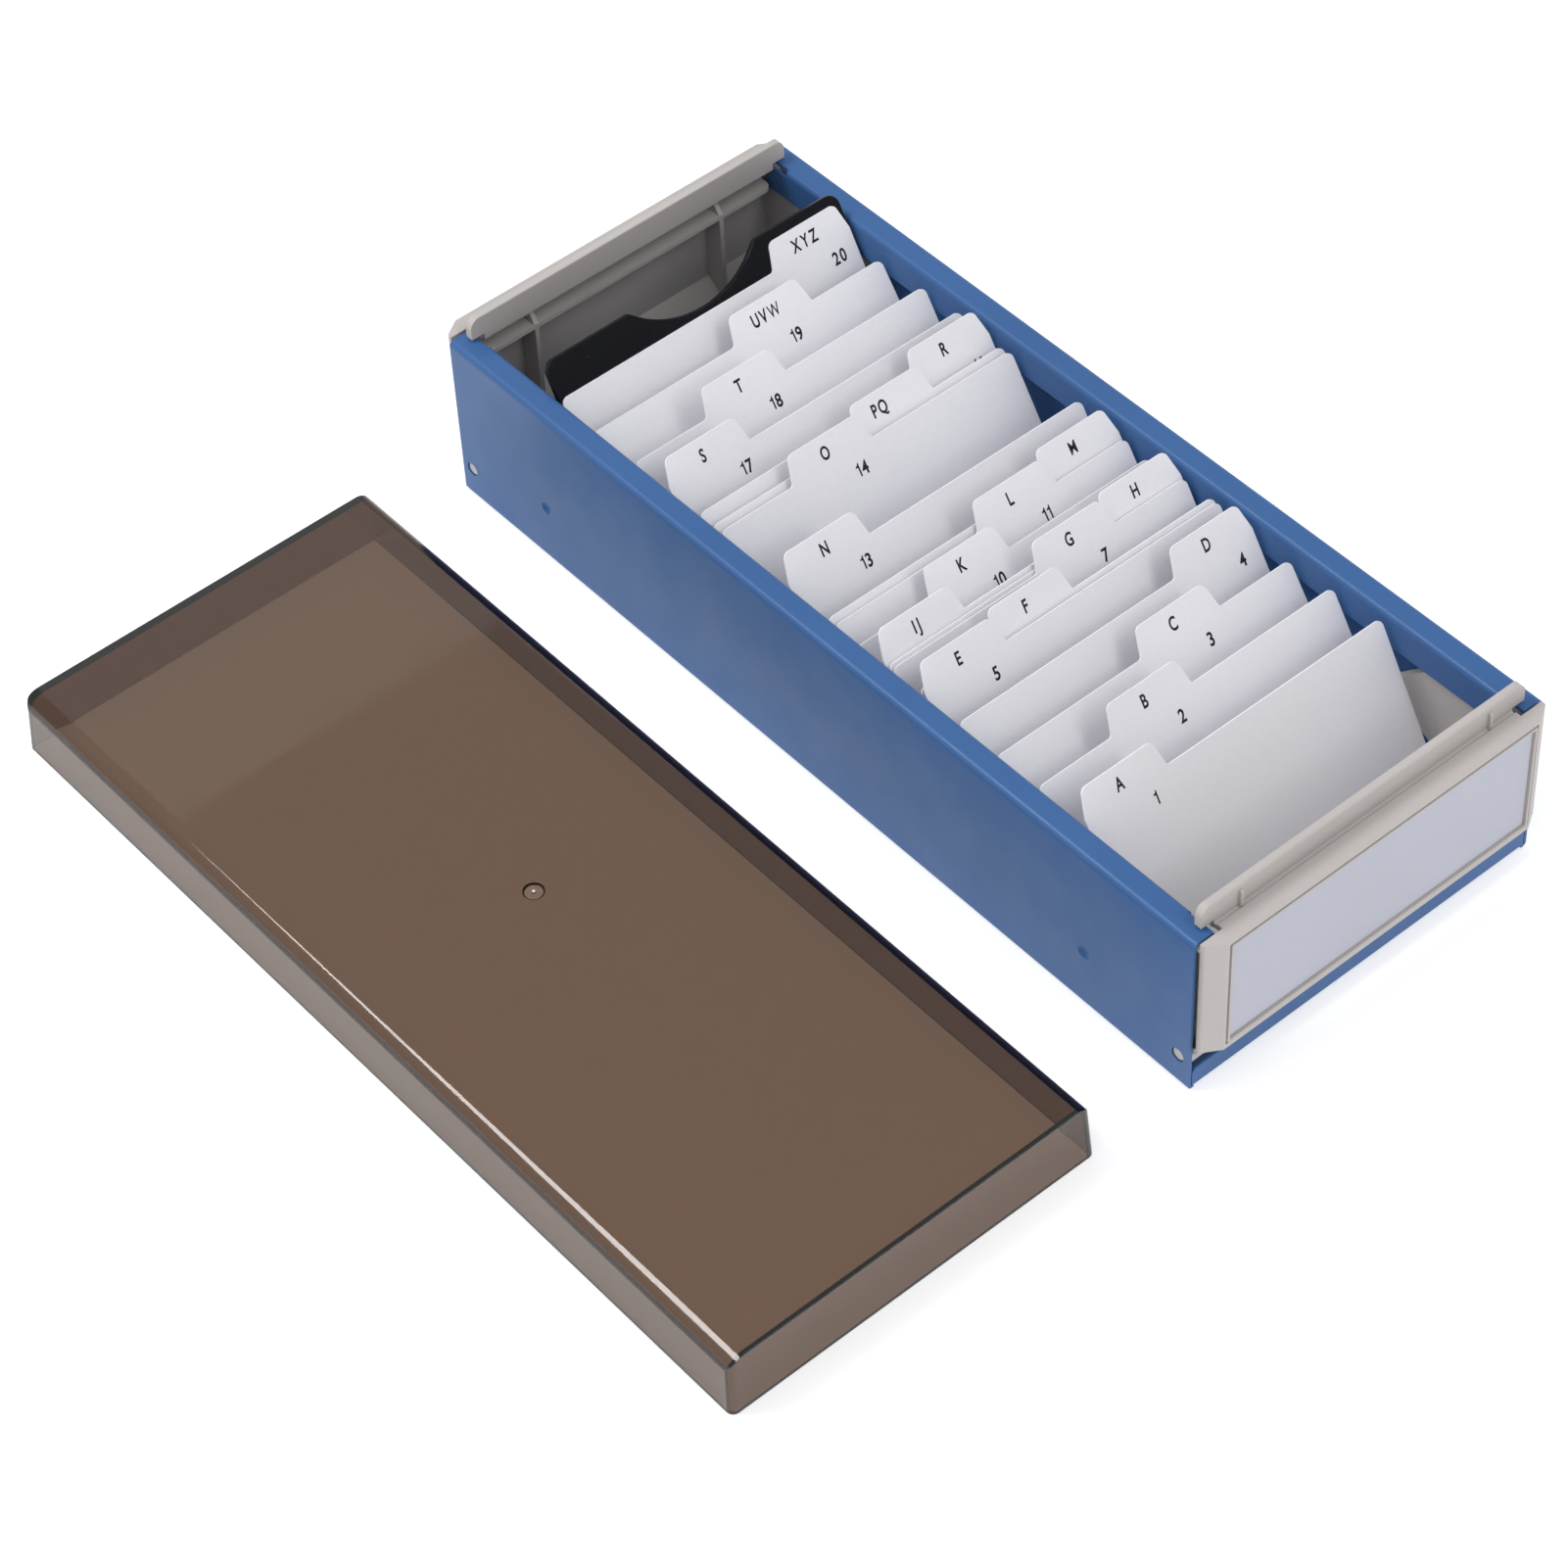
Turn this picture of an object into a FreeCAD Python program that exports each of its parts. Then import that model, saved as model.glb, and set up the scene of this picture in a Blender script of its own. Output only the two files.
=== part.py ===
import FreeCAD, Part
import math
import os
from FreeCAD import Vector

# Desktop index box for business cards, in millimetres.
# +Z is up, +X is across the box, -Y is the labelled front end.
# The origin is the middle of the tray's underside.

# ---- driving dimensions ----------------------------------------------------
tray_length = 272.0
tray_width = 112.7
tray_height = 51.7
sheet = 0.8                      # steel thickness
flange_width = 7.2               # top edge turned inwards
skirt_depth = 9.8                # inner edge of the flange turned down
lip_height = 6.4                 # low upstand at each end
top_bend = 1.8                   # outer bend radii
skirt_bend = 1.7
floor_bend = 1.1

pivot_inset = 3.9                # pivot axis, from the tray's end
pivot_height = 9.5
pivot_hole_radius = 2.0
pivot_stub_radius = 1.93
dimple_inset = 35.8              # pressed stop that the closed end plate rests on
dimple_height = 18.2
dimple_radius = 2.0

face_proud = 5.0                 # end plate face, ahead of the tray's end
face_half_width = 50.4
plate_half_width = 55.2
face_bottom = 14.5
shelf_top = 52.0
wall_top = 58.5                  # raised wall across each end of the box
wall_bottom = 49.7
wall_half_width = 52.2
ledge_width = 7.1                # from the face to the raised wall
shelf_step = 0.55                # the ledge drops this much in front of the raised wall
wall_thickness = 2.2
moulding = 1.9                   # wall thickness of the end plates
label_half_width = 48.8
label_bottom = 16.9
label_top = 50.2
label_recess = 0.7
tilt_radius = 41.0               # what the end plate sweeps below the flange

divider_width = 96.0
divider_body = 57.0
divider_top = 64.5
divider_thickness = 0.45
tab_base = 26.0
tab_side_slope = 2.0
divider_floor_gap = 0.2

follower_width = 96.8
follower_length = 66.8
follower_thickness = 2.6
follower_lean = 30.5
scoop_radius = 29.0
scoop_depth = 8.7

lid_length = 273.0
lid_width = 109.3
lid_height = 18.0
lid_wall = 1.6
lid_draft = 1.0
lid_edge_radius = 4.5
lid_centre = (-139.4, 1.5)

# Dividers from the front: name, tab place 0 to 3, foot position along Y, lean in degrees.
dividers = [
    ("a", 0, -120.0, 30.0),
    ("b", 1, -106.5, 33.0),
    ("c", 2, -94.0, 35.5),
    ("d", 3, -79.0, 33.0),
    ("e", 0, -66.0, 31.5),
    ("f", 1, -64.0, 31.5),
    ("g", 2, -55.0, 32.5),
    ("h", 3, -53.5, 32.5),
    ("ij", 0, -51.5, 32.0),
    ("k", 1, -45.5, 36.5),
    ("l", 2, -36.0, 35.0),
    ("m", 3, -33.0, 34.5),
    ("n", 0, -17.0, 32.0),
    ("o", 1, 7.5, 33.5),
    ("pq", 2, 10.0, 34.5),
    ("r", 3, 16.0, 33.0),
    ("s", 0, 28.0, 32.0),
    ("t", 1, 40.5, 33.5),
    ("uvw", 2, 55.0, 36.5),
    ("xyz", 3, 72.0, 30.5),
]

# ---- derived dimensions ----------------------------------------------------
half_length = tray_length / 2
half_width = tray_width / 2
skirt_x = half_width - flange_width
pivot_y = -half_length + pivot_inset
face_y = -half_length - face_proud
wall_outer_y = face_y + ledge_width
wall_inner_y = wall_outer_y + wall_thickness
tray_floor = sheet

PLANES = {
    "xy": lambda a, b: Vector(a, b, 0),
    "xz": lambda a, b: Vector(a, 0, b),
    "yz": lambda a, b: Vector(0, a, b),
}


# ---- helpers ---------------------------------------------------------------
def outline(points, plane):
    """Face inside a closed polygon. A point is (a, b) or (a, b, corner radius)."""
    place = PLANES[plane]
    corners = [place(p[0], p[1]) for p in points]
    radii = [p[2] if len(p) > 2 else 0.0 for p in points]
    count = len(points)
    starts = []
    ends = []
    arcs = []
    for i, corner in enumerate(corners):
        if radii[i] == 0.0:
            starts.append(corner)
            ends.append(corner)
            arcs.append(None)
            continue
        back = (corners[i - 1] - corner).normalize()
        ahead = (corners[(i + 1) % count] - corner).normalize()
        half_turn = back.getAngle(ahead) / 2
        first = corner + back * (radii[i] / math.tan(half_turn))
        last = corner + ahead * (radii[i] / math.tan(half_turn))
        middle = (back + ahead).normalize()
        reach = radii[i] / math.sin(half_turn) - radii[i]
        starts.append(first)
        ends.append(last)
        arcs.append(Part.Arc(first, corner + middle * reach, last).toShape())
    edges = []
    for i in range(count):
        if arcs[i] is not None:
            edges.append(arcs[i])
        following = starts[(i + 1) % count]
        if ends[i].distanceToPoint(following) > 1e-6:
            edges.append(Part.LineSegment(ends[i], following).toShape())
    return Part.Face(Part.Wire(edges))


def along_x(points, x_low, x_high):
    """Prism along X of a (y, z) outline."""
    face = outline(points, "yz")
    face.translate(Vector(x_low, 0, 0))
    return face.extrude(Vector(x_high - x_low, 0, 0))


def along_y(points, y_low, y_high):
    """Prism along Y of an (x, z) outline."""
    face = outline(points, "xz")
    face.translate(Vector(0, y_low, 0))
    return face.extrude(Vector(0, y_high - y_low, 0))


def along_z(points, z_low, z_high):
    """Prism along Z of an (x, y) outline."""
    face = outline(points, "xy")
    face.translate(Vector(0, 0, z_low))
    return face.extrude(Vector(0, 0, z_high - z_low))


def block(x, y, z):
    """Box between two coordinates along each axis."""
    return Part.makeBox(x[1] - x[0], y[1] - y[0], z[1] - z[0], Vector(x[0], y[0], z[0]))


def cylinder_x(radius, x_low, x_high, y, z):
    return Part.makeCylinder(radius, x_high - x_low, Vector(x_low, y, z), Vector(1, 0, 0))


def joined(shapes):
    """One clean solid from overlapping ones."""
    return shapes[0].multiFuse(shapes[1:]).removeSplitter()


def mirrored_x(shape):
    return shape.mirror(Vector(0, 0, 0), Vector(1, 0, 0))


def half_turn_z(shape):
    turned = shape.copy()
    turned.rotate(Vector(0, 0, 0), Vector(0, 0, 1), 180)
    return turned


def leaned(shape, foot_y, foot_z, lean):
    """Tip an upright shape back towards +Y about its foot and set it on the floor."""
    tipped = shape.copy()
    tipped.rotate(Vector(0, 0, 0), Vector(1, 0, 0), -lean)
    tipped.translate(Vector(0, foot_y, foot_z))
    return tipped


def save(name, shape):
    solids = shape.Solids
    if len(solids) == 1:
        shape = solids[0]
    if not shape.isValid():
        raise ValueError(name + " is not valid")
    shape.exportStep("parts/" + name + ".step")
    print(name, len(solids), round(shape.Volume, 1))


# ---- tray ------------------------------------------------------------------
def folded_channel():
    """Floor, sides, flanges and skirts, as one bent sheet."""
    inner = half_width - sheet
    under_flange = tray_height - sheet
    behind_skirt = skirt_x + sheet
    skirt_bottom = tray_height - skirt_depth
    outside = [
        (skirt_x, skirt_bottom),
        (skirt_x, tray_height, skirt_bend),
        (half_width, tray_height, top_bend),
        (half_width, 0, floor_bend),
    ]
    inside = [
        (inner, tray_floor, floor_bend - sheet),
        (inner, under_flange, top_bend - sheet),
        (behind_skirt, under_flange, skirt_bend - sheet),
        (behind_skirt, skirt_bottom),
    ]
    left_outside = [(-p[0],) + p[1:] for p in reversed(outside)]
    left_inside = [(-p[0],) + p[1:] for p in reversed(inside)]
    return along_y(outside + left_outside + left_inside + inside, -half_length, half_length)


def front_lip():
    """Low upstand bent from the floor at the front end."""
    lip_half_width = half_width - sheet - 0.3
    inner_y = -half_length + sheet
    section = [
        (-half_length + 4.0, 0),
        (-half_length, 0, floor_bend),
        (-half_length, lip_height, 0.25),
        (inner_y, lip_height, 0.25),
        (inner_y, tray_floor, floor_bend - sheet),
        (-half_length + 4.0, tray_floor),
    ]
    lip = along_x(section, -lip_half_width, lip_half_width)
    corner = 1.5
    silhouette = [
        (-lip_half_width, -1.0),
        (-lip_half_width, lip_height, corner),
        (lip_half_width, lip_height, corner),
        (lip_half_width, -1.0),
    ]
    return lip.common(along_y(silhouette, -half_length - 1, -half_length + 5))


def tray():
    shape = folded_channel()
    lip_room = half_width - sheet - floor_bend + 0.2
    slot_end = half_length - 8.4
    slot_bottom = tray_height - 2.1
    plain_flange_x = skirt_x + 1.05
    cuts = [
        block((-lip_room, lip_room), (-half_length - 1, -half_length + floor_bend), (-1, 2)),
    ]
    for x_low, x_high in ((skirt_x - 1, plain_flange_x), (-plain_flange_x, -skirt_x + 1)):
        cuts.append(block((x_low, x_high), (-half_length - 1, -slot_end), (slot_bottom, 60)))
    cuts = cuts + [half_turn_z(cut) for cut in cuts]
    for end in (-1, 1):
        cuts.append(cylinder_x(pivot_hole_radius, -60, 60, end * -pivot_y, pivot_height))
    shape = shape.cut(Part.makeCompound(cuts))
    shape = joined([shape, front_lip(), half_turn_z(front_lip())])
    return with_dimples(shape)


def with_dimples(shape):
    """Stops pressed inwards through the sides."""
    recess_sphere = 3.0
    bump_sphere = recess_sphere + sheet - 0.2
    centre_x = half_width + math.sqrt(recess_sphere ** 2 - dimple_radius ** 2)
    dimple_y = half_length - dimple_inset
    inner_room = block((-half_width + 0.4, half_width - 0.4), (-200, 200), (0, 60))
    bumps = []
    recesses = []
    for side in (-1, 1):
        for end in (-1, 1):
            centre = Vector(side * centre_x, end * dimple_y, dimple_height)
            bumps.append(Part.makeSphere(bump_sphere, centre).common(inner_room))
            recesses.append(Part.makeSphere(recess_sphere, centre))
    return joined([shape] + bumps).cut(Part.makeCompound(recesses))


# ---- end plates ------------------------------------------------------------
def plate_plan(inset):
    """Outline seen from above: flat face, bevelled ends and sides running back."""
    back_y = wall_inner_y + 60
    side = plate_half_width - inset
    flat = face_half_width - 0.5 * inset
    return [
        (-side, back_y),
        (-side, -half_length - 2.0 + 0.5 * inset, 0.8),
        (-flat, face_y + inset, 0.6),
        (flat, face_y + inset, 0.6),
        (side, -half_length - 2.0 + 0.5 * inset, 0.8),
        (side, back_y),
    ]


def plate_section():
    """Section along the box: face, shelf, raised wall and the chute behind the lip."""
    panel_back = face_y + moulding
    chute_y = pivot_y - 1.4
    chute_bottom = pivot_height + 2.8
    step_y = wall_outer_y - 1.15
    step_top = shelf_top - shelf_step
    return [
        (face_y, face_bottom, 0.5),
        (face_y, shelf_top, 0.8),
        (step_y, shelf_top, 0.15),
        (step_y, step_top, 0.1),
        (wall_outer_y, step_top, 0.4),
        (wall_outer_y, wall_top, 0.6),
        (wall_inner_y, wall_top, 0.35),
        (wall_inner_y, wall_bottom, 0.9),
        (wall_outer_y + 0.2, wall_bottom, 0.1),
        (wall_outer_y + 0.2, shelf_top - moulding, 0.1),
        (panel_back, shelf_top - moulding, 0.4),
        (panel_back, 19.6, 0.4),
        (chute_y, 15.6, 1.2),
        (chute_y, chute_bottom, 0.4),
        (chute_y - moulding, chute_bottom, 0.4),
        (chute_y - moulding, 14.3, 0.4),
        (panel_back, 17.3, 0.3),
        (panel_back, face_bottom, 0.5),
    ]


def cheek_outline():
    """Side gusset about the pivot. Its top follows the circle that clears the flange."""
    stop_angle = math.radians(45)
    front = face_y + moulding - pivot_y
    front_top = math.sqrt(tilt_radius ** 2 - front ** 2)
    stop = tilt_radius * math.sin(stop_angle)
    tip = (42.0, math.sqrt(2) * tilt_radius - 42.0)
    boss = 3.2
    low = face_bottom + 0.3 - pivot_height

    def at(y, z):
        return Vector(0, pivot_y + y, pivot_height + z)

    mid_angle = (math.atan2(front, front_top) + stop_angle) / 2
    top_middle = at(tilt_radius * math.sin(mid_angle), tilt_radius * math.cos(mid_angle))
    edges = [
        Part.LineSegment(at(front, low), at(front, front_top)).toShape(),
        Part.Arc(at(front, front_top), top_middle, at(stop, stop)).toShape(),
        Part.LineSegment(at(stop, stop), at(*tip)).toShape(),
        Part.LineSegment(at(*tip), at(1.35, -2.9)).toShape(),
        Part.Arc(at(1.35, -2.9), at(-boss * 0.6, -boss * 0.8), at(-2.6, 1.86)).toShape(),
        Part.LineSegment(at(-2.6, 1.86), at(front, low)).toShape(),
    ]
    return Part.Face(Part.Wire(edges))


def cheek():
    """Right-hand gusset: a web with a rim round it, and the pivot boss and stub."""
    web_x = 51.2
    rim = 1.5
    face = cheek_outline()
    face.translate(Vector(web_x, 0, 0))
    solid = face.extrude(Vector(plate_half_width - web_x, 0, 0))
    under_bend = [
        edge for edge in solid.Edges
        if abs(edge.CenterOfMass.x - plate_half_width) < 0.01
        and edge.CenterOfMass.y > pivot_y
        and edge.CenterOfMass.z > pivot_height + 20
    ]
    solid = solid.makeChamfer(0.7, under_bend)
    pocket_face = cheek_outline().makeOffset2D(-rim)
    pocket_face.translate(Vector(web_x + moulding, 0, 0))
    pocket = pocket_face.extrude(Vector(10, 0, 0))
    boss = cylinder_x(3.2, web_x, plate_half_width, pivot_y, pivot_height)
    return joined([solid.cut(pocket), boss])


def pivot_stub():
    """Stub that turns in the tray's hole, with a rounded end."""
    end_x = half_width - 0.35
    stub = cylinder_x(pivot_stub_radius, plate_half_width - 1, end_x, pivot_y, pivot_height)
    rim = [edge for edge in stub.Edges if abs(edge.CenterOfMass.x - end_x) < 0.01]
    return stub.makeFillet(0.35, rim)


def label_frame():
    """Groove, ridge and recess for the label, as (cut, ridge) on the face."""
    def rectangle(grow, y_low, y_high):
        half = label_half_width + grow
        low = label_bottom - grow
        high = label_top + grow
        points = [(-half, low, 0.4), (half, low, 0.4), (half, high, 0.4), (-half, high, 0.4)]
        return along_y(points, y_low, y_high)

    groove = rectangle(1.1, face_y - 1, face_y + 0.45)
    ridge = rectangle(0.6, face_y - 0.25, face_y + 0.6)
    recess = rectangle(0.0, face_y - 1, face_y + label_recess)
    return groove, ridge, recess


def stiffening_ribs():
    """Ribs inside the plate, behind its face."""
    panel_back = face_y + moulding - 0.3
    rib_edge = panel_back + 6.5
    rib_top = 44.0
    across = [
        (-48.4, panel_back),
        (48.4, panel_back),
        (48.4, rib_edge, 2.0),
        (-48.4, rib_edge, 2.0),
    ]
    shapes = [along_z(across, rib_top - 1.3, rib_top)]
    for x in (-31.0, 31.0):
        upright = [
            (panel_back, 17.0),
            (panel_back, 48.6),
            (panel_back + 3.2, 48.6, 0.8),
            (rib_edge, rib_top),
            (rib_edge, 14.5),
        ]
        shapes.append(along_x(upright, x - 0.65, x + 0.65))
    return shapes


def lid_ribs():
    """Small ribs that centre the lid, outside the raised wall."""
    section = [
        (wall_outer_y + 0.5, shelf_top - 1.0),
        (wall_outer_y + 0.5, wall_top - 1.7),
        (wall_outer_y - 0.9, wall_top - 1.7, 0.6),
        (wall_outer_y - 0.9, shelf_top - 1.0),
    ]
    return [along_x(section, x - 0.4, x + 0.4) for x in (-40.2, 40.2)]


def front_plate():
    section = plate_section()
    core_half = 48.2
    corner_back = -half_length - 0.7
    core = along_x(section, -core_half, core_half)
    wide = along_x(section, -plate_half_width, plate_half_width)
    corners = wide.common(block((-60, 60), (-150, corner_back), (0, 70)))
    chute = along_x(section, -51.8, 51.8).common(block((-60, 60), (-140, -120), (11, 25)))
    wall_ends = along_x(section, -wall_half_width, wall_half_width)
    wall_ends = wall_ends.common(block((-60, 60), (wall_outer_y, -120), (tray_height + 0.7, 70)))
    shell = along_z(plate_plan(0), face_bottom, shelf_top).cut(
        along_z(plate_plan(moulding), 0, 70))
    shell = shell.common(block((-60, 60), (-150, corner_back), (0, 70)))
    right_cheek = cheek()
    shape = joined(
        [core, corners, chute, wall_ends, shell, right_cheek, mirrored_x(right_cheek)]
        + stiffening_ribs())
    silhouette = [
        (-60, 0),
        (-60, shelf_top + 0.02),
        (-wall_half_width, shelf_top + 0.02),
        (-wall_half_width, wall_top, 3.0),
        (wall_half_width, wall_top, 3.0),
        (wall_half_width, shelf_top + 0.02),
        (60, shelf_top + 0.02),
        (60, 0),
    ]
    shape = shape.common(along_z(plate_plan(0), 0, 70)).common(along_y(silhouette, -150, -80))
    groove, ridge, recess = label_frame()
    shape = joined([shape.cut(groove), ridge] + lid_ribs()).cut(recess)
    stub = pivot_stub()
    return joined([shape, stub, mirrored_x(stub)])


def front_label():
    margin = 0.5
    paper = 0.25
    back = face_y + label_recess
    half = label_half_width - margin
    points = [
        (-half, label_bottom + margin),
        (half, label_bottom + margin),
        (half, label_top - margin),
        (-half, label_top - margin),
    ]
    return along_y(points, back - paper, back)


# ---- follower --------------------------------------------------------------
def follower():
    """Leaning plate with a thumb scoop, on a foot that slides along the floor."""
    half = follower_width / 2
    chord = math.sqrt(scoop_radius ** 2 - (scoop_radius - scoop_depth) ** 2)
    foot_y = dividers[-1][2] + 0.64
    foot_z = tray_floor + 0.45
    base = [
        (-half, 0, 1.0),
        (half, 0, 1.0),
        (half, follower_length, 3.5),
        (-half, follower_length, 3.5),
    ]
    plate = along_y(base, 0, follower_thickness)
    scoop = Part.makeCylinder(
        scoop_radius, 20, Vector(0, -10, follower_length - scoop_depth + scoop_radius),
        Vector(0, 1, 0))
    plate = plate.cut(scoop)
    lip_corners = [
        edge for edge in plate.Edges
        if abs(edge.CenterOfMass.z - follower_length) < 0.01
        and abs(abs(edge.CenterOfMass.x) - chord) < 0.01
    ]
    plate = plate.makeFillet(2.0, lip_corners)
    rims = [edge for edge in plate.Edges if abs(edge.CenterOfMass.y) < 0.01]
    plate = plate.makeFillet(0.4, rims)
    rims = [
        edge for edge in plate.Edges
        if abs(edge.CenterOfMass.y - follower_thickness) < 0.01 and edge.CenterOfMass.z > 2
    ]
    plate = plate.makeChamfer(1.1, rims)
    plate = leaned(plate, foot_y, foot_z, follower_lean)
    foot_half = half_width - sheet - 1.2
    foot_plan = [
        (-foot_half, foot_y + 1.6, 1.5),
        (foot_half, foot_y + 1.6, 1.5),
        (foot_half, foot_y + 30, 3.0),
        (-foot_half, foot_y + 30, 3.0),
    ]
    foot = along_z(foot_plan, tray_floor + 0.2, tray_floor + 2.2)
    above_floor = block((-60, 60), (0, 200), (tray_floor + 0.2, 80))
    lean = math.radians(follower_lean)
    reach = 42.0
    web = [
        (foot_y + 2.2, foot_z),
        (foot_y + 27, foot_z),
        (foot_y + 27, foot_z + 2.5, 1.5),
        (foot_y + reach * math.sin(lean) + 1.6, foot_z + reach * math.cos(lean)),
    ]
    webs = [along_x(web, x - 0.9, x + 0.9) for x in (-30.0, 30.0)]
    return joined([plate.common(above_floor), foot] + webs)


# ---- dividers --------------------------------------------------------------
def divider(place, foot_y, lean):
    """Card with one tab, cut from flat board."""
    half = divider_width / 2
    pitch = (divider_width - tab_base) / 3
    left = -half + place * pitch
    right = left + tab_base
    points = [(-half, 0, 0.8), (half, 0, 0.8)]
    if place < 3:
        points += [(half, divider_body, 2.0), (right, divider_body, 1.0)]
    else:
        points += [(half, divider_body)]
    points += [
        (right - tab_side_slope, divider_top, 2.0),
        (left + tab_side_slope, divider_top, 2.0),
    ]
    if place > 0:
        points += [(left, divider_body, 1.0), (-half, divider_body, 2.0)]
    else:
        points += [(-half, divider_body)]
    card = along_y(points, 0, divider_thickness)
    drop = divider_thickness * math.sin(math.radians(lean))
    return leaned(card, foot_y, tray_floor + divider_floor_gap + drop, lean)


# ---- lid -------------------------------------------------------------------
def drafted_block(length, width, height, draft, edge_radius, corner_radius):
    """Block that narrows upwards, with rounded long top edges and upright corners."""
    half_w = width / 2
    half_l = length / 2
    sharp = along_x(
        [(-half_l, 0), (half_l, 0), (half_l - draft, height), (-half_l + draft, height)],
        -half_w, half_w)
    sides = [(-half_w, 0), (half_w, 0), (half_w - draft, height), (-half_w + draft, height)]
    sharp = sharp.common(along_y(sides, -half_l, half_l))
    upright = [edge for edge in sharp.Edges if edge.BoundBox.ZLength > height / 2]
    solid = sharp.makeFillet(corner_radius, upright)
    rounded = sides[:2] + [sides[2] + (edge_radius,), sides[3] + (edge_radius,)]
    return solid.common(along_y(rounded, -half_l - 1, half_l + 1))


def lid():
    outer = drafted_block(lid_length, lid_width, lid_height, lid_draft, lid_edge_radius, 2.0)
    inner = drafted_block(
        lid_length - 2 * lid_wall, lid_width - 2 * lid_wall, lid_height - lid_wall, lid_draft,
        lid_edge_radius - lid_wall, 0.8)
    gate = Part.makeCylinder(2.75, 1, Vector(0, 0, lid_height - 0.35))
    ring = Part.makeCylinder(2.75, 1, Vector(0, 0, lid_height - 0.9))
    ring = ring.cut(Part.makeCylinder(2.25, 1, Vector(0, 0, lid_height - 0.9)))
    nub = Part.makeSphere(0.8, Vector(0, 0, lid_height - 0.85))
    shape = joined([outer.cut(inner).cut(gate).cut(ring), nub])
    shape.translate(Vector(lid_centre[0], lid_centre[1], 0))
    return shape


# ---- write the nodes -------------------------------------------------------
os.makedirs("parts", exist_ok=True)
save("tray", tray())
plate = front_plate()
save("front_plate", plate)
save("rear_plate", half_turn_z(plate))
save("front_label", front_label())
save("follower", follower())
for name, place, foot_y, lean in dividers:
    save("divider_" + name, divider(place, foot_y, lean))
save("lid", lid())
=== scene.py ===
import math

import bmesh
import bpy
from mathutils import Matrix, Vector


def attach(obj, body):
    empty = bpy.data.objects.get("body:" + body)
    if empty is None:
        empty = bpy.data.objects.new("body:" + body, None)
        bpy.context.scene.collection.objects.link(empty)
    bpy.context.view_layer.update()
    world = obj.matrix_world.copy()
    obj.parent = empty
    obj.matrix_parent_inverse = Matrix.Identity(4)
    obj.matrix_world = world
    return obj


# A business-card index box: painted steel tray, tilting moulded ends, lettered dividers
# leaning on a black follower, and a smoke-coloured lid lying beside the tray.

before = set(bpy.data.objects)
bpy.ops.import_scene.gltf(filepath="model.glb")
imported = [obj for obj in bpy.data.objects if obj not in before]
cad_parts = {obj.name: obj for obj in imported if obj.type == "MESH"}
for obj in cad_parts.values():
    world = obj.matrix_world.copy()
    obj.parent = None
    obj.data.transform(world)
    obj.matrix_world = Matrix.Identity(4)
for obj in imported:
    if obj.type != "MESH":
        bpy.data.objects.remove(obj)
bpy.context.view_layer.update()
scene = bpy.context.scene

MM = 0.001

# The same figures as part.py, in mm and degrees, for the marks printed on the dividers.
tray_floor = 0.8
divider_floor_gap = 0.2
divider_width = 96.0
divider_thickness = 0.45
tab_base = 26.0
tab_places = 4
dividers = [                      # name, place of its tab from the left, foot y, lean
    ("a", 0, -120.0, 30.0),
    ("b", 1, -106.5, 33.0),
    ("c", 2, -94.0, 35.5),
    ("d", 3, -79.0, 33.0),
    ("e", 0, -66.0, 31.5),
    ("f", 1, -64.0, 31.5),
    ("g", 2, -55.0, 32.5),
    ("h", 3, -53.5, 32.5),
    ("ij", 0, -51.5, 32.0),
    ("k", 1, -45.5, 36.5),
    ("l", 2, -36.0, 35.0),
    ("m", 3, -33.0, 34.5),
    ("n", 0, -17.0, 32.0),
    ("o", 1, 7.5, 33.5),
    ("pq", 2, 10.0, 34.5),
    ("r", 3, 16.0, 33.0),
    ("s", 0, 28.0, 32.0),
    ("t", 1, 40.5, 33.5),
    ("uvw", 2, 55.0, 36.5),
    ("xyz", 3, 72.0, 30.5),
]
lid_centre = (-139.4, 1.5)
lid_height = 18.0


# ---- materials -------------------------------------------------------------
noise_low, noise_high = 0.3, 0.7  # noise seldom leaves this range
speck_radius = 0.07               # in cells
mix_factor, mix_first, mix_second = 0, 6, 7    # the colour sockets of a Mix node
mix_result = 2


def shade(colour, factor):
    return tuple(channel * factor for channel in colour)


def grey(value):
    return (value, value, value)


def between(low, high):
    """Ramp stops that take noise from one colour to another."""
    return [(noise_low, low), (noise_high, high)]


def around(colour, low, high):
    """Ramp stops that take noise from low to high times one colour."""
    return between(shade(colour, low), shade(colour, high))


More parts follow.
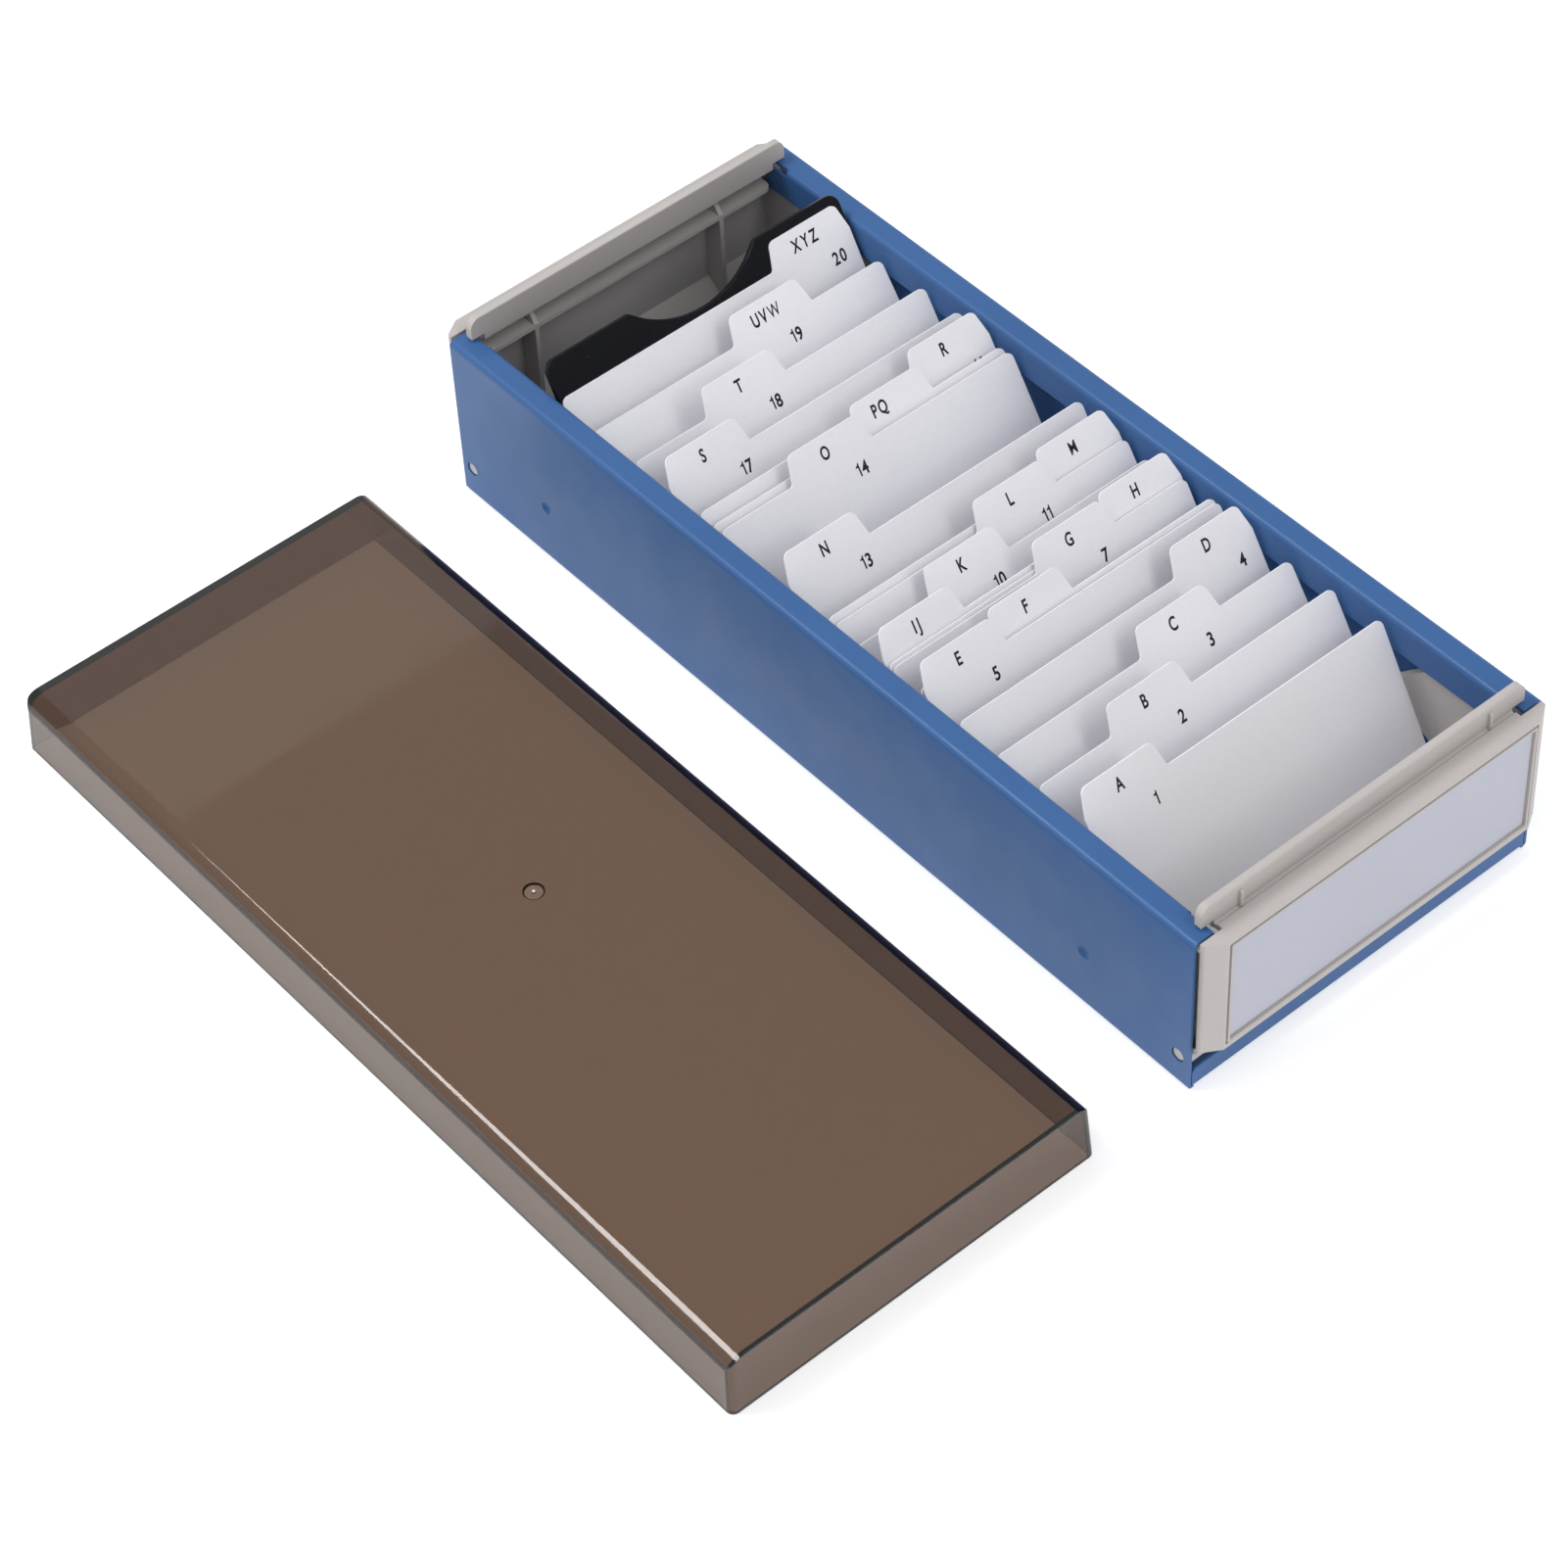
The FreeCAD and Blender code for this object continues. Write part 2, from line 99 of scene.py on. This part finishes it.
class Nodes:
    """A material with one Principled shader. Its methods take and return sockets."""

    def __init__(self, name):
        self.material = bpy.data.materials.new(name)
        self.material.use_nodes = True
        self.tree = self.material.node_tree
        self.tree.nodes.clear()
        self.output = self.add("ShaderNodeOutputMaterial")
        self.shader = self.add("ShaderNodeBsdfPrincipled")
        self.join(self.shader.outputs["BSDF"], self.output.inputs["Surface"])
        self.place = self.add("ShaderNodeTexCoord").outputs["Object"]

    def add(self, kind, **values):
        node = self.tree.nodes.new(kind)
        for key, value in values.items():
            setattr(node, key, value)
        return node

    def join(self, source, target):
        self.tree.links.new(source, target)

    def feed(self, name, source):
        """Links a socket to the shader's input of this name."""
        self.join(source, self.shader.inputs[name])

    def set(self, **values):
        for key, value in values.items():
            self.shader.inputs[key.replace("_", " ")].default_value = value

    def noise(self, scale, detail, stretch=(1, 1, 1)):
        """Noise over the object, with features about 1/scale metres across."""
        mapping = self.add("ShaderNodeMapping")
        mapping.inputs["Scale"].default_value = stretch
        self.join(self.place, mapping.inputs["Vector"])
        texture = self.add("ShaderNodeTexNoise")
        texture.inputs["Scale"].default_value = scale
        texture.inputs["Detail"].default_value = detail
        self.join(mapping.outputs["Vector"], texture.inputs["Vector"])
        return texture.outputs["Fac"]

    def ramp(self, source, stops):
        """Colours from noise, by two (value, colour) stops."""
        node = self.add("ShaderNodeValToRGB")
        for element, (position, colour) in zip(node.color_ramp.elements, stops):
            element.position = position
            element.color = colour + (1,)
        self.join(source, node.inputs["Fac"])
        return node.outputs["Color"]

    def mix(self, factor, first, second):
        """Mixes a socket's colour with a plain colour."""
        node = self.add("ShaderNodeMix", data_type="RGBA")
        self.join(factor, node.inputs[mix_factor])
        self.join(first, node.inputs[mix_first])
        node.inputs[mix_second].default_value = second + (1,)
        return node.outputs[mix_result]

    def multiply(self, first, second):
        """Multiplies the colours of two sockets."""
        node = self.add("ShaderNodeMix", data_type="RGBA", blend_type="MULTIPLY")
        node.inputs[mix_factor].default_value = 1.0
        self.join(first, node.inputs[mix_first])
        self.join(second, node.inputs[mix_second])
        return node.outputs[mix_result]

    def spread(self, source, low, high):
        """Maps noise onto low to high."""
        node = self.add("ShaderNodeMapRange")
        node.inputs["From Min"].default_value = noise_low
        node.inputs["From Max"].default_value = noise_high
        node.inputs["To Min"].default_value = low
        node.inputs["To Max"].default_value = high
        self.join(source, node.inputs["Value"])
        return node.outputs["Result"]

    def bump(self, source, depth, below=None):
        """Normals for a surface this many metres deep, on top of the bump below it."""
        node = self.add("ShaderNodeBump")
        node.inputs["Distance"].default_value = depth
        self.join(source, node.inputs["Height"])
        if below is not None:
            self.join(below, node.inputs["Normal"])
        return node.outputs["Normal"]

    def under(self, source, limit):
        """1 where a value is less than the limit, 0 elsewhere."""
        node = self.add("ShaderNodeMath", operation="LESS_THAN")
        node.inputs[1].default_value = limit
        self.join(source, node.inputs[0])
        return node.outputs["Value"]

    def specks(self, scale, share):
        """Sparse round dots: 1 inside a dot, 0 elsewhere. This share of the cells has one."""
        cells = self.add("ShaderNodeTexVoronoi")
        cells.inputs["Scale"].default_value = scale
        self.join(self.place, cells.inputs["Vector"])
        near = self.under(cells.outputs["Distance"], speck_radius)
        chance = self.add("ShaderNodeSeparateColor")
        self.join(cells.outputs["Color"], chance.inputs["Color"])
        rare = self.under(chance.outputs["Red"], share)
        both = self.add("ShaderNodeMath", operation="MULTIPLY")
        self.join(near, both.inputs[0])
        self.join(rare, both.inputs[1])
        return both.outputs["Value"]


def painted_steel():
    """Stoved blue paint: slight orange peel, soft gloss, a little dust and handling wear."""
    m = Nodes("blue_paint")
    blue = (0.038, 0.115, 0.299)
    rubbed_blue = (0.070, 0.165, 0.365)
    dust_blue = (0.16, 0.26, 0.44)
    body = m.ramp(m.noise(18, 3), around(blue, 0.95, 1.05))
    worn = m.ramp(m.noise(55, 6), [(0.62, grey(0.0)), (0.80, grey(0.16))])
    rubbed = m.mix(worn, body, rubbed_blue)
    m.feed("Base Color", m.mix(m.specks(260, 0.02), rubbed, dust_blue))
    m.feed("Roughness", m.spread(m.noise(70, 4), 0.36, 0.48))
    peel = m.bump(m.noise(900, 2), 0.00003)
    m.feed("Normal", m.bump(m.noise(35, 1), 0.00012, peel))
    m.set(Specular_IOR_Level=0.22, Coat_Weight=0.10, Coat_Roughness=0.16)
    return m.material


def beige_moulding():
    """Grey-beige polystyrene with a fine spark-eroded texture."""
    m = Nodes("beige_plastic")
    beige = (0.480, 0.452, 0.437)
    body = m.ramp(m.noise(22, 3), around(beige, 0.97, 1.03))
    grime = m.ramp(m.noise(90, 6), [(0.60, grey(0.0)), (0.85, grey(0.25))])
    dirty = m.mix(grime, body, shade(beige, 0.80))
    m.feed("Base Color", m.mix(m.specks(240, 0.012), dirty, shade(beige, 0.55)))
    m.feed("Roughness", m.spread(m.noise(120, 4), 0.50, 0.62))
    m.feed("Normal", m.bump(m.noise(3200, 2), 0.00003))
    m.set(Specular_IOR_Level=0.35)
    return m.material


def black_moulding():
    """Black polystyrene, satin, with sparse pale grey specks and fine scuffs."""
    m = Nodes("black_plastic")
    dark, less_dark = (0.0055, 0.006, 0.0085), (0.008, 0.0085, 0.012)
    pale_speck_grey = (0.04, 0.04, 0.045)
    body = m.ramp(m.noise(30, 4), between(dark, less_dark))
    # Sparse pale grey specks over the black.
    m.feed("Base Color", m.mix(m.specks(330, 0.012), body, pale_speck_grey))
    m.feed("Roughness", m.spread(m.noise(150, 5), 0.22, 0.34))
    m.feed("Normal", m.bump(m.noise(260, 3, (0.15, 1, 1)), 0.00001))
    m.set(Specular_IOR_Level=0.10)
    return m.material


def divider_board():
    """Off-white card with a faint fibre across it and a few small specks."""
    m = Nodes("divider_card")
    board = (0.875, 0.868, 0.910)
    body = m.ramp(m.noise(16, 3), around(board, 0.975, 1.02))
    fibre = m.ramp(m.noise(1400, 5, (0.35, 1, 1)), between(grey(0.97), grey(1.0)))
    card = m.multiply(body, fibre)
    m.feed("Base Color", m.mix(m.specks(180, 0.006), card, shade(board, 0.6)))
    m.feed("Roughness", m.spread(m.noise(200, 4), 0.62, 0.74))
    m.feed("Normal", m.bump(m.noise(1100, 4), 0.000005))
    m.set(Specular_IOR_Level=0.28)
    return m.material


def label_paper():
    """Cool grey paper card in the front frame."""
    m = Nodes("label_card")
    paper = (0.455, 0.465, 0.540)
    m.feed("Base Color", m.ramp(m.noise(40, 3), around(paper, 0.985, 1.015)))
    m.feed("Roughness", m.spread(m.noise(300, 4), 0.60, 0.72))
    m.feed("Normal", m.bump(m.noise(1500, 4), 0.000012))
    m.set(Specular_IOR_Level=0.25)
    return m.material


def smoke_moulding():
    """Clear brown-grey polystyrene. Its tint is in the thickness, so its edges go dark."""
    m = Nodes("smoke_plastic")
    m.feed("Roughness", m.spread(m.noise(60, 4), 0.015, 0.05))
    m.feed("Normal", m.bump(m.noise(14, 1), 0.00003))
    m.set(Base_Color=(1, 1, 1, 1), Transmission_Weight=1.0, IOR=1.55)
    absorb = m.add("ShaderNodeVolumeAbsorption")
    absorb.inputs["Color"].default_value = (0.47, 0.285, 0.11, 1)
    absorb.inputs["Density"].default_value = 1480.0
    m.join(absorb.outputs["Volume"], m.output.inputs["Volume"])
    return m.material


def gate_moulding(name, colour, roughness):
    """Plastic colour at the lid's moulding gate, used twice: a near-black ring of painted
    shade and a pale stub of painted highlight.
    """
    m = Nodes(name)
    m.feed("Base Color", m.ramp(m.noise(1500, 3), around(colour, 0.85, 1.15)))
    m.feed("Roughness", m.spread(m.noise(1200, 3), roughness, roughness + 0.1))
    m.feed("Normal", m.bump(m.noise(2400, 2), 0.00001))
    m.set(Specular_IOR_Level=0.15)
    return m.material


def printing_ink():
    """Black ink, a little patchy."""
    m = Nodes("printing_ink")
    full, thin = (0.007, 0.007, 0.008), (0.018, 0.018, 0.020)
    m.feed("Base Color", m.ramp(m.noise(1800, 3), between(full, thin)))
    m.feed("Roughness", m.spread(m.noise(900, 3), 0.45, 0.60))
    m.set(Specular_IOR_Level=0.3)
    return m.material


finishes = {                      # by the names of the CAD materials
    "painted_steel": painted_steel(),
    "beige_moulding": beige_moulding(),
    "label_paper": label_paper(),
    "black_moulding": black_moulding(),
    "divider_board": divider_board(),
    "smoke_moulding": smoke_moulding(),
}
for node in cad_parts.values():
    for material_slot in node.material_slots:
        material_slot.material = finishes[material_slot.material.name.split(".")[0]]


# ---- pieces ----------------------------------------------------------------
def absorb_mesh(target, addition):
    """Adds one bmesh to another and frees it."""
    carrier = bpy.data.meshes.new("carrier")
    addition.to_mesh(carrier)
    addition.free()
    target.from_mesh(carrier)
    bpy.data.meshes.remove(carrier)


def make_piece(name, mesh, material):
    """Turns a closed bmesh into an object of the scene."""
    bmesh.ops.recalc_face_normals(mesh, faces=mesh.faces)
    shape = bpy.data.meshes.new(name)
    mesh.to_mesh(shape)
    mesh.free()
    shape.materials.append(material)
    piece = bpy.data.objects.new(name, shape)
    scene.collection.objects.link(piece)
    return piece


# ---- printing on the dividers, in mm ---------------------------------------
ink = printing_ink()
print_thickness = 0.02
print_clearance = 0.003           # from the card to the underside of the print
cap_height = 3.6
glyph_gap = 0.5
letter_squeeze = 0.68             # width of the narrowed face against the font's own
digit_squeeze = 0.78
letters_at = (-1.0, 58.4)         # from the middle of the tab, and up from the divider's foot
digits_at = (7.0, 49.8)
print_aside = {                   # how far the letters and the number stray sideways
    "n": (0.8, 2.2),
    "pq": (-2.4, -1.0),
    "s": (0.0, 2.2),
    "uvw": (0.0, -2.2),
}
glyph_smoothness = 6
bold_offset = 0.024               # thickens the strokes, in the font's own units
crowded_offset = 0.007            # the same for M and W, whose strokes lie close together


def flat_glyph(character):
    """Flat mesh of one character in the font's own units, its strokes thickened a little."""
    curve = bpy.data.curves.new("mark", "FONT")
    curve.body = character
    curve.resolution_u = glyph_smoothness
    curve.offset = crowded_offset if character in "MW" else bold_offset
    holder = bpy.data.objects.new("mark", curve)
    scene.collection.objects.link(holder)
    bpy.context.view_layer.update()
    depsgraph = bpy.context.evaluated_depsgraph_get()
    flat = bpy.data.meshes.new_from_object(holder.evaluated_get(depsgraph))
    bpy.data.objects.remove(holder)
    glyph = bmesh.new()
    glyph.from_mesh(flat)
    bpy.data.meshes.remove(flat)
    bpy.data.curves.remove(curve)
    return glyph


def measured_cap():
    """Height of a capital letter in the font's own units."""
    glyph = flat_glyph("H")
    height = max(v.co.y for v in glyph.verts) - min(v.co.y for v in glyph.verts)
    glyph.free()
    return height


font_cap = measured_cap()


def digit_one():
    """A figure one with a plain flag, which the font does not have."""
    corners = [                   # in cap heights
        (0.22, 0.0), (0.38, 0.0), (0.38, 1.0), (0.27, 1.0), (0.24, 0.90),
        (0.17, 0.83), (0.0, 0.79), (0.0, 0.68), (0.22, 0.68),
    ]
    glyph = bmesh.new()
    glyph.faces.new([glyph.verts.new((x * font_cap, y * font_cap, 0)) for x, y in corners])
    return glyph


def mark(text, squeeze, x, y):
    """Raised print of a short text, centred on x and standing on y."""
    mesh = bmesh.new()
    scale = cap_height / font_cap
    pen = 0.0
    for character in text:
        glyph = digit_one() if character == "1" else flat_glyph(character)
        left = min(v.co.x for v in glyph.verts)
        right = max(v.co.x for v in glyph.verts)
        for v in glyph.verts:
            v.co.x = (v.co.x - left) * scale * squeeze + pen
            v.co.y *= scale
            v.co.z = print_clearance
        pen += (right - left) * scale * squeeze + glyph_gap
        raised = bmesh.ops.extrude_face_region(glyph, geom=list(glyph.faces))
        for item in raised["geom"]:
            if isinstance(item, bmesh.types.BMVert):
                item.co.z += print_thickness
        absorb_mesh(mesh, glyph)
    bmesh.ops.translate(mesh, verts=mesh.verts, vec=(-(pen - glyph_gap) / 2, 0, 0))
    bmesh.ops.translate(mesh, verts=mesh.verts, vec=(x, y, 0))
    return mesh


def card_face(foot_y, lean):
    """From a divider's own face, in mm with y up the card, to its place in the tray."""
    a = math.radians(lean)
    foot_z = tray_floor + divider_floor_gap + divider_thickness * math.sin(a)
    across = Vector((1, 0, 0))
    up = Vector((0, math.sin(a), math.cos(a)))
    turn = Matrix((across, up, across.cross(up))).transposed().to_4x4()
    return Matrix.Translation((0, foot_y * MM, foot_z * MM)) @ turn @ Matrix.Scale(MM, 4)


def print_divider(number, name, place, foot_y, lean):
    """The divider's letters on its tab and its number below them."""
    pitch = (divider_width - tab_base) / (tab_places - 1)
    tab_centre = -divider_width / 2 + tab_base / 2 + place * pitch
    letters_aside, digits_aside = print_aside.get(name, (0.0, 0.0))
    letters_x = tab_centre + letters_at[0] + letters_aside
    digits_x = tab_centre + digits_at[0] + digits_aside
    printed = mark(name.upper(), letter_squeeze, letters_x, letters_at[1])
    absorb_mesh(printed, mark(str(number), digit_squeeze, digits_x, digits_at[1]))
    bmesh.ops.transform(printed, matrix=card_face(foot_y, lean), verts=printed.verts)
    piece = make_piece("print_" + name, printed, ink)
    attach(piece, "card_" + name)


for number, divider in enumerate(dividers, 1):
    print_divider(number, *divider)


# ---- moulding gate on the lid, in mm from the middle of its top -------------
gate_spokes = 40
ring_radius = 2.5
ring_tube = 0.22                  # radius of the ring's round section
ring_depth = 0.40
ring_step = 36                    # degrees round the section
stub_profile = [(0.0, 0.0), (0.42, 0.0), (0.42, 0.10), (0.30, 0.18), (0.15, 0.21), (0.0, 0.22)]
weld_distance = 1e-8              # metres: only points in the same place


def turned(name, profile, material):
    """A closed profile of (radius, height) points turned about the middle of the lid."""
    mesh = bmesh.new()
    spokes = []
    for step in range(gate_spokes):
        t = 2 * math.pi * step / gate_spokes
        spokes.append([
            mesh.verts.new((
                (lid_centre[0] + radius * math.cos(t)) * MM,
                (lid_centre[1] + radius * math.sin(t)) * MM,
                (lid_height + height) * MM))
            for radius, height in profile])
    for here, there in zip(spokes, spokes[1:] + spokes[:1]):
        for k in range(len(profile)):
            face = mesh.faces.new((here[k - 1], there[k - 1], there[k], here[k]))
            face.smooth = True
    bmesh.ops.remove_doubles(mesh, verts=mesh.verts, dist=weld_distance)
    piece = make_piece(name, mesh, material)
    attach(piece, "lid")


ring_profile = [
    (ring_radius + ring_tube * math.cos(math.radians(angle)),
     ring_tube * math.sin(math.radians(angle)) - ring_depth)
    for angle in range(0, 360, ring_step)]
# The ring is painted shade: a near-black ring laid in the groove round the gate.
turned("gate_ring", ring_profile, gate_moulding("gate_painted_shade", (0.010, 0.006, 0.006), 0.25))
# The stub's pale colour is a painted highlight on the gate's nub.
turned("gate_stub", stub_profile, gate_moulding("gate_painted_highlight", (0.70, 0.66, 0.62), 0.18))


# ---- camera, in degrees, metres and the lens in mm --------------------------
camera_azimuth = -38.276
camera_elevation = 47.755
camera_roll = -3.140
camera_distance = 1.2056
camera_lens = 109.92
camera_sensor = 36.0
origin_right = 0.04806            # how far the tray's origin sits from the optical axis
origin_up = 0.0315


def look_direction(azimuth, elevation):
    """Unit vector from the object towards a camera at this azimuth and elevation."""
    a = math.radians(azimuth)
    e = math.radians(elevation)
    return Vector((math.sin(a) * math.cos(e), -math.cos(a) * math.cos(e), math.sin(e)))


def make_camera():
    azimuth = math.radians(camera_azimuth)
    roll = math.radians(camera_roll)
    towards = look_direction(camera_azimuth, camera_elevation)
    level = Vector((math.cos(azimuth), math.sin(azimuth), 0))
    upright = towards.cross(level)
    right = level * math.cos(roll) + upright * math.sin(roll)
    up = upright * math.cos(roll) - level * math.sin(roll)
    data = bpy.data.cameras.new("camera")
    data.lens = camera_lens
    data.sensor_width = camera_sensor
    camera = bpy.data.objects.new("camera", data)
    location = towards * camera_distance - right * origin_right - up * origin_up
    turn = Matrix((right, up, towards)).transposed().to_4x4()
    camera.matrix_world = Matrix.Translation(location) @ turn
    scene.collection.objects.link(camera)
    scene.camera = camera


# ---- studio, in metres and watts --------------------------------------------
floor_half_side = 8.0
floor_drop = 0.0002
world_strength = 0.68
# The key comes from behind on the left. The sweep light hangs level behind the box and gives
# the lid's far end its paler patch.
lights = [                        # name, place, target, sides, power
    ("key", (-0.62, 0.55, 1.15), (0, 0, 0), (0.50, 0.50), 8.3),
    ("front", (0.1, -0.95, 1.25), (0, 0, 0), (0.35, 0.9), 5.2),
    ("sweep", (0.6, 1.345, 1.2), (0.6, 1.345, 0), (1.1, 0.6), 0.75),
]


def make_floor():
    """A white lit sweep, so the object stands on plain white."""
    m = Nodes("white_sweep")
    m.set(Base_Color=(0.8, 0.8, 0.8, 1), Roughness=0.9, Specular_IOR_Level=0.0,
          Emission_Color=(1, 1, 1, 1), Emission_Strength=0.42)
    mesh = bpy.data.meshes.new("floor")
    grid = bmesh.new()
    bmesh.ops.create_grid(grid, x_segments=1, y_segments=1, size=floor_half_side)
    bmesh.ops.translate(grid, verts=grid.verts, vec=(0, 0, -floor_drop))
    grid.to_mesh(mesh)
    grid.free()
    mesh.materials.append(m.material)
    floor = bpy.data.objects.new("floor", mesh)
    scene.collection.objects.link(floor)


def area_light(name, location, target, sides, power):
    data = bpy.data.lights.new(name, "AREA")
    data.energy = power
    data.shape = "RECTANGLE"
    data.size, data.size_y = sides
    light = bpy.data.objects.new(name, data)
    light.location = location
    aim = Vector(target) - Vector(location)
    light.rotation_euler = aim.to_track_quat("-Z", "Y").to_euler()
    scene.collection.objects.link(light)


def make_world():
    world = bpy.data.worlds.new("studio")
    scene.world = world
    world.use_nodes = True
    background = world.node_tree.nodes["Background"]
    background.inputs["Color"].default_value = (1, 1, 1, 1)
    background.inputs["Strength"].default_value = world_strength


make_camera()
make_floor()
make_world()
for light in lights:
    area_light(*light)
scene.view_settings.view_transform = "Standard"
